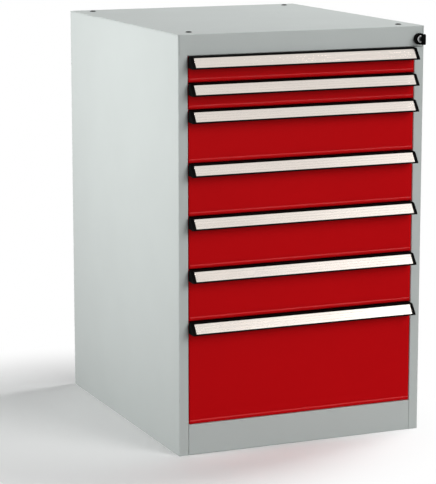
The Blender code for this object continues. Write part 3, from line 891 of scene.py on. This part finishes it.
def grip_lines(top):
    """Give the hood's outline, its hollow, its recess and the strip, as (y, z)."""
    head = Vector((front_y - STRIP_TOP_REACH, top - STRIP_TOP_DROP))
    foot = Vector((front_y - STRIP_FOOT_REACH, top - STRIP_FOOT_DROP))
    down = (foot - head).normalized()
    out = Vector((down.y, -down.x))
    seat = -(STRIP_SHEET + SEAM)
    back = seat - GRIP_WALL
    lip_end = foot + down * LIP_HEIGHT
    bottom = top - GRIP_BACK_HEIGHT
    hollow_top = top - GRIP_WALL
    slope_top = head + out * back
    slope_top = slope_top + down * ((hollow_top - slope_top.y) / down.y)
    root = front_y - SEAM
    lap = top + LAP_PLAY
    hood = [(root, lap), (front_y + LAP_DEPTH, lap), (front_y + LAP_DEPTH, lap + LAP_SHEET),
            (front_y - GRIP_TOP_REACH, lap + LAP_SHEET),
            (front_y - GRIP_NOSE, top - GRIP_NOSE_DROP), head - down * SEAM * 2,
            head + out * seat / 2, foot + out * LIP_PROUD,
            lip_end + out * (LIP_PROUD - LIP_HEIGHT / 4), lip_end + out * back / 2,
            (root, bottom)]
    hollow = [(root - GRIP_WALL, hollow_top), slope_top,
              foot + down * (LIP_HEIGHT + OVERRUN) + out * back,
              (root - GRIP_WALL, bottom - OVERRUN)]
    recess = [head - down * SEAM + out * seat, head - down * SEAM + out * OVERRUN,
              foot + down * SEAM + out * OVERRUN, foot + down * SEAM + out * seat]
    return hood, hollow, recess, grooved(head, foot, down, out)


def grooved(head, foot, down, out):
    """Outline the strip with its lengthwise grooves."""
    length = (foot - head).length
    face = [head]
    for step in range(1, GROOVES + 1):
        middle = head + down * length * step / (GROOVES + 1)
        near = middle - down * GROOVE_WIDTH / 2
        far = middle + down * GROOVE_WIDTH / 2
        face += [near, near - out * GROOVE_DEPTH, far - out * GROOVE_DEPTH, far]
    return face + [foot, foot - out * STRIP_SHEET, head - out * STRIP_SHEET]


def across(name, outline, half):
    """Extrude an outline of (y, z) points across X."""
    return prism(name, [(-half, y, z) for y, z in outline], (half * 2, 0, 0))


def round_ends(hood):
    """Round the two upper corners of a hood's ends, as seen from the front."""
    low, high = corners_of(hood)
    centre_x = high.x - GRIP_CORNER
    centre_z = high.z - GRIP_CORNER
    for _, side in SIDES:
        outline = [(side * centre_x, high.z + OVERRUN)]
        for step in range(GRIP_CORNER_STEPS + 1):
            turn = math.pi / 2 * step / GRIP_CORNER_STEPS
            outline.append((side * (centre_x + GRIP_CORNER * math.sin(turn)),
                            centre_z + GRIP_CORNER * math.cos(turn)))
        outline += [(side * (high.x + OVERRUN), centre_z),
                    (side * (high.x + OVERRUN), high.z + OVERRUN)]
        corner = prism("corner", [(x, low.y - OVERRUN, z) for x, z in outline],
                       (0, high.y - low.y + OVERRUN * 2, 0))
        cut(hood, corner)


def grips():
    """Mould one hood, cut one strip, and copy both to every row."""
    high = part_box("drawer_1_grip")[1]
    hood, hollow, recess, slat = grip_lines(high.z)
    strip_half = high.x - GRIP_END - SEAM
    first_grip = across("grip_1", hood, high.x + GRIP_OVERLAP)
    cut(first_grip, across("space", hollow, strip_half))
    cut(first_grip, across("space", recess, strip_half + SEAM))
    round_ends(first_grip)
    shaded(eased(first_grip))
    first_strip = shaded(eased(across("strip_1", slat, strip_half), FINE_EDGE, FINE_STEPS))
    for number in reversed(ROWS):
        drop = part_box(f"drawer_{number}_grip")[1].z - high.z
        grip = in_row(number, first_grip, f"grip_{number}", drop)
        strip = in_row(number, first_strip, f"strip_{number}", drop)
        dressed(grip, "black_plastic", f"drawer_{number}", f"drawer_{number}_grip")
        dressed(strip, "anodised_aluminium", f"drawer_{number}", f"drawer_{number}_strip")


# Lock and key

def lock():
    """Turn the collar and the cylinder, and cut the keyway."""
    low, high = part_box("lock_collar")
    outer = low.y - front_y
    inner = high.y - front_y
    bore = FACE_RADIUS + SEAM
    step = outer + FACE_LENGTH
    seat = (lock_x, front_y, lock_z)
    profile = [(bore, outer), (COLLAR_RADIUS - COLLAR_EDGE, outer),
               (COLLAR_RADIUS, outer + COLLAR_EDGE), (COLLAR_RADIUS, -SEAM),
               (BARREL_RADIUS, -SEAM), (BARREL_RADIUS, inner), (CORE_RADIUS + SEAM, inner),
               (CORE_RADIUS + SEAM, step), (bore, step)]
    collar = turned("collar", profile, seat, (0, 1, 0))
    dressed(shaded(eased(collar)), "black_plastic", "cabinet", "lock_collar")
    core_low, core_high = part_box("lock_cylinder")
    face = core_low.y - front_y
    end = core_high.y - front_y
    profile = [(0, face), (FACE_RADIUS - FACE_EDGE, face), (FACE_RADIUS, face + FACE_EDGE),
               (FACE_RADIUS, step - SEAM), (CORE_RADIUS, step - SEAM), (CORE_RADIUS, end), (0, end)]
    core = turned("cylinder", profile, seat, (0, 1, 0))
    eased(core)
    keyway = block("keyway", (lock_x - KEYWAY_WIDTH / 2, core_low.y - OVERRUN,
                              lock_z - KEYWAY_HEIGHT / 2),
                   (lock_x + KEYWAY_WIDTH / 2, core_low.y + KEYWAY_DEPTH,
                    lock_z + KEYWAY_HEIGHT / 2))
    cut(core, keyway)
    dressed(shaded(core), "chrome", "lock_cylinder", "lock_cylinder")


def key():
    """Mould the bow with its ring hole and cut the blade with its teeth."""
    low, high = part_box("key_bow")
    thickness = high.x - low.x
    neck = high.y - SHOULDER_LENGTH
    bow = block("bow", (low.x, low.y, low.z), (high.x, neck, high.z))
    shaping(bow)
    choose("EDGE", lambda edge: abs(edge.verts[0].co.x - edge.verts[1].co.x) > thickness / 2)
    bpy.ops.mesh.bevel(offset=BOW_CORNER, segments=BEND_STEPS * 2, affect="EDGES")
    choose("FACE", lambda face: abs(face.normal.x) > FACING)
    bpy.ops.mesh.inset(thickness=BOW_RECESS_INSET, depth=0, use_even_offset=True,
                       use_individual=True)
    bpy.ops.mesh.inset(thickness=BOW_RECESS / 2, depth=-BOW_RECESS, use_individual=True)
    shaped()
    shoulder = block("shoulder", (low.x, neck - BOW_RECESS_INSET, lock_z - SHOULDER_HEIGHT / 2),
                     (high.x, high.y, lock_z + SHOULDER_HEIGHT / 2))
    cut(bow, shoulder, "UNION")
    ring = (lock_x, low.y + BOW_HOLE_INSET, lock_z)
    cut(bow, disc("hole", ring, BOW_HOLE_RADIUS, high.z - low.z, ALONG_X))
    dressed(shaded(eased(bow, BOW_EDGE)), "black_plastic", "key", "key_bow")
    low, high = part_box("key_blade")
    length = high.y - low.y
    height = high.z - low.z
    teeth = [(low.y + length * along, low.z + height * cut_share)
             for along, cut_share in TOOTH_SHARES]
    outline = [(low.y, low.z)] + teeth
    outline += [(high.y, lock_z), (high.y, lock_z + height / 4), (high.y - height / 4, high.z),
                (low.y, high.z)]
    blade = prism("blade", [(low.x, y, z) for y, z in outline], (high.x - low.x, 0, 0))
    for x in (low.x, high.x):
        groove = block("groove", (x - BLADE_GROOVE, low.y - OVERRUN, lock_z + BLADE_GROOVE),
                       (x + BLADE_GROOVE, high.y + OVERRUN, lock_z + BLADE_GROOVE * 3))
        cut(blade, groove)
    dressed(shaded(eased(blade, FINE_EDGE, FINE_STEPS)), "chrome", "key", "key_blade")


def lock_parts():
    """Plate the lock bar and the cam, whose cut shapes are right as they are."""
    for node in ("lock_bar", "lock_cam"):
        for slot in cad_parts[node].material_slots:
            slot.material = FINISHES["zinc_plated_steel"]


# Studio

def floor_finish():
    """Mix a paint that takes shadows near the cabinet with plain white further out."""
    material, shader, place = fresh_finish("pale floor")
    nodes = material.node_tree.nodes
    nodes.remove(shader)
    seen = seen_directly(material.node_tree)
    near = nodes.new("ShaderNodeBsdfDiffuse")
    paint = nodes.new("ShaderNodeMix")
    paint.data_type = "RGBA"
    paint.inputs["A"].default_value = (FLOOR_BOUNCE, FLOOR_BOUNCE, FLOOR_BOUNCE, 1)
    paint.inputs["B"].default_value = (FLOOR_SEEN, FLOOR_SEEN, FLOOR_SEEN, 1)
    link(material, seen, paint.inputs["Factor"])
    link(material, paint.outputs["Result"], near.inputs["Color"])
    far = nodes.new("ShaderNodeEmission")
    distance = nodes.new("ShaderNodeVectorMath")
    distance.operation = "DISTANCE"
    link(material, place, distance.inputs[0])
    distance.inputs[1].default_value = FLOOR_MIDDLE
    fade = nodes.new("ShaderNodeMapRange")
    fade.interpolation_type = "SMOOTHSTEP"
    fade.inputs["From Min"].default_value = FLOOR_FADE_START
    fade.inputs["From Max"].default_value = FLOOR_FADE_END
    link(material, distance.outputs["Value"], fade.inputs["Value"])
    both = nodes.new("ShaderNodeMath")
    both.operation = "MULTIPLY"
    link(material, fade.outputs["Result"], both.inputs[0])
    link(material, seen, both.inputs[1])
    mix = nodes.new("ShaderNodeMixShader")
    link(material, both.outputs["Value"], mix.inputs["Fac"])
    link(material, near.outputs["BSDF"], mix.inputs[1])
    link(material, far.outputs["Emission"], mix.inputs[2])
    link(material, mix.outputs["Shader"], nodes["Material Output"].inputs["Surface"])
    return material


def floor():
    """Lay a pale floor that turns white away from the cabinet's shadow."""
    bpy.ops.mesh.primitive_circle_add(vertices=FLOOR_CORNERS, radius=FLOOR_RADIUS,
                                      fill_type="NGON")
    ground = bpy.context.object
    ground.name = "studio_floor"
    ground.data.materials.append(floor_finish())


def seen_directly(tree):
    """Give 1 for the rays of the camera, of reflections and of glass, else 0."""
    path = tree.nodes.new("ShaderNodeLightPath")
    total = path.outputs["Is Camera Ray"]
    for kind in ("Is Glossy Ray", "Is Transmission Ray"):
        larger = tree.nodes.new("ShaderNodeMath")
        larger.operation = "MAXIMUM"
        tree.links.new(total, larger.inputs[0])
        tree.links.new(path.outputs[kind], larger.inputs[1])
        total = larger.outputs["Value"]
    return total


def sky():
    """Surround the studio with white that lights the cabinet only softly."""
    world = bpy.data.worlds.new("white studio")
    bpy.context.scene.world = world
    world.use_nodes = True
    tree = world.node_tree
    background = tree.nodes["Background"]
    background.inputs["Color"].default_value = (1, 1, 1, 1)
    strength = tree.nodes.new("ShaderNodeMapRange")
    strength.inputs["To Min"].default_value = SKY_LIGHT
    strength.inputs["To Max"].default_value = 1.0
    tree.links.new(seen_directly(tree), strength.inputs["Value"])
    tree.links.new(strength.outputs["Result"], background.inputs["Strength"])


def lamp(name, place, aim, size, power, angle):
    """Add a square soft lamp that looks at a point."""
    place = Vector(place)
    turn = (Vector(aim) - place).to_track_quat("-Z", "Y").to_euler()
    bpy.ops.object.light_add(type="AREA", location=place, rotation=turn)
    light = bpy.context.object
    light.name = name
    light.data.shape = "SQUARE"
    light.data.size = size
    light.data.energy = power
    light.data.spread = math.radians(angle)
    light.visible_camera = False


def camera():
    """Set the camera where the photograph was taken from."""
    turn = (math.radians(CAMERA_TILT), 0, math.radians(CAMERA_TURN))
    bpy.ops.object.camera_add(location=CAMERA_PLACE, rotation=turn)
    eye = bpy.context.object
    eye.name = "camera"
    eye.data.sensor_width = CAMERA_SENSOR
    eye.data.lens = CAMERA_LENS
    bpy.context.scene.camera = eye


def studio():
    """Set the floor, the light and the camera."""
    bpy.context.scene.view_settings.view_transform = "Standard"
    floor()
    sky()
    for name, place, aim, size, power, angle in LAMPS:
        lamp(name, place, aim, size, power, angle)
    camera()


def main():
    """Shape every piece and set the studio."""
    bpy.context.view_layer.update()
    for name, side in SIDES:
        side_wall(name, side)
        rack(name, side)
        members(name, side)
    top_cover()
    plugs()
    plinth()
    rear_wall()
    case_floor()
    in_every_row("front", drawer_front, "red_powder_coat")
    hem_edges()
    in_every_row("tray", drawer_tray, "grey_powder_coat")
    inner_rails()
    grips()
    lock()
    key()
    lock_parts()
    studio()


main()
